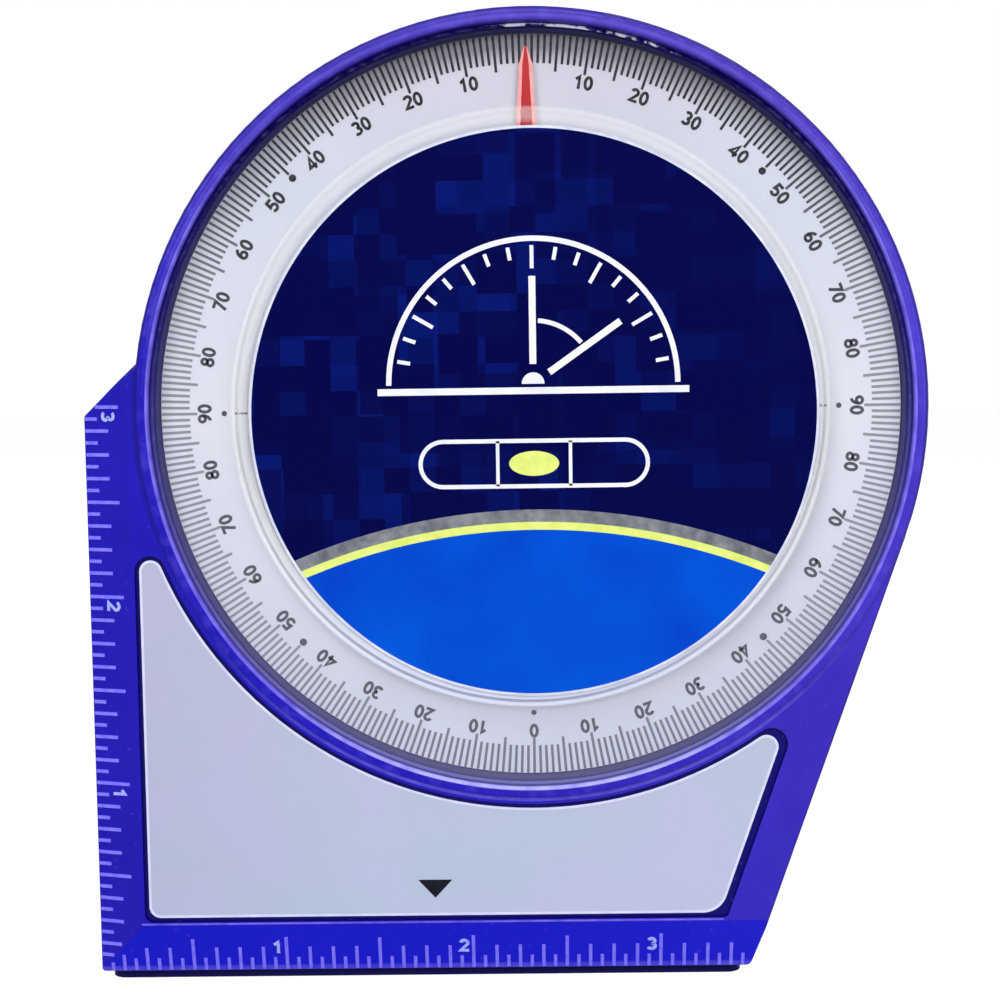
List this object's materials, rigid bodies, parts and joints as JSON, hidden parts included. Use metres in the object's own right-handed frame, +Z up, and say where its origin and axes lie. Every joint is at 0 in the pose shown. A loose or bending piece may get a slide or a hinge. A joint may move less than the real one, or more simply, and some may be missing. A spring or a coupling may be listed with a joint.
{
  "type": "inclinometer",
  "caption": "Magnetic-base inclinometer: round dial drum on a bevelled base with inch rules, a clear lens, and a weighted pendulum that swings a red needle.",
  "frame": {"origin": "on the magnet's resting face, straight below the pivot and halfway through the body's depth", "axes": "+X to the right along the base as the dial is read, +Y from the dial to the back, +Z up"},
  "size_m": [0.1119, 0.026, 0.1297],
  "materials": {
    "housing_plastic": "satin",
    "zinc_screw": "satin",
    "ferrite": "matte",
    "plated_steel": "satin",
    "dial_board": "matte",
    "silver_foil": "satin",
    "black_ink": "matte",
    "clear_plastic": "gloss",
    "clear_bond": "gloss",
    "printed_label": "gloss",
    "panel_foil": "satin",
    "pale_ink": "matte",
    "polished_pin": "polished",
    "low_friction_plastic": "satin",
    "brass_hub": "satin",
    "zinc_casting": "matte",
    "aluminium_rivet": "satin",
    "red_enamel": "gloss"
  },
  "bodies": {
    "housing": {"housing_shell": "housing_plastic", "rear_cover": "housing_plastic", "cover_screws": "zinc_screw", "base_magnet": "ferrite", "magnet_backing_plate": "plated_steel", "dial_plate": "dial_board", "dial_face": "silver_foil", "dial_graduations": "black_ink", "lens": "clear_plastic", "lens_bond": "clear_bond", "centre_label": "printed_label", "panel_label": "panel_foil", "base_rule_marks": "pale_ink", "side_rule_marks": "pale_ink", "pivot_pin": "polished_pin", "retaining_ring": "plated_steel", "thrust_washer": "low_friction_plastic"},
    "pendulum": {"hub_bush": "brass_hub", "pendulum_arm": "plated_steel", "pendulum_weight": "zinc_casting", "weight_rivets": "aluminium_rivet", "pointer": "red_enamel", "pointer_rivets": "aluminium_rivet"}
  },
  "joints": [
    {"name": "pendulum_swing", "type": "hinge", "parent": "housing", "child": "pendulum", "pos_m": [0, 0, 0.0773], "axis": [0, 1, 0], "continuous": true}
  ]
}
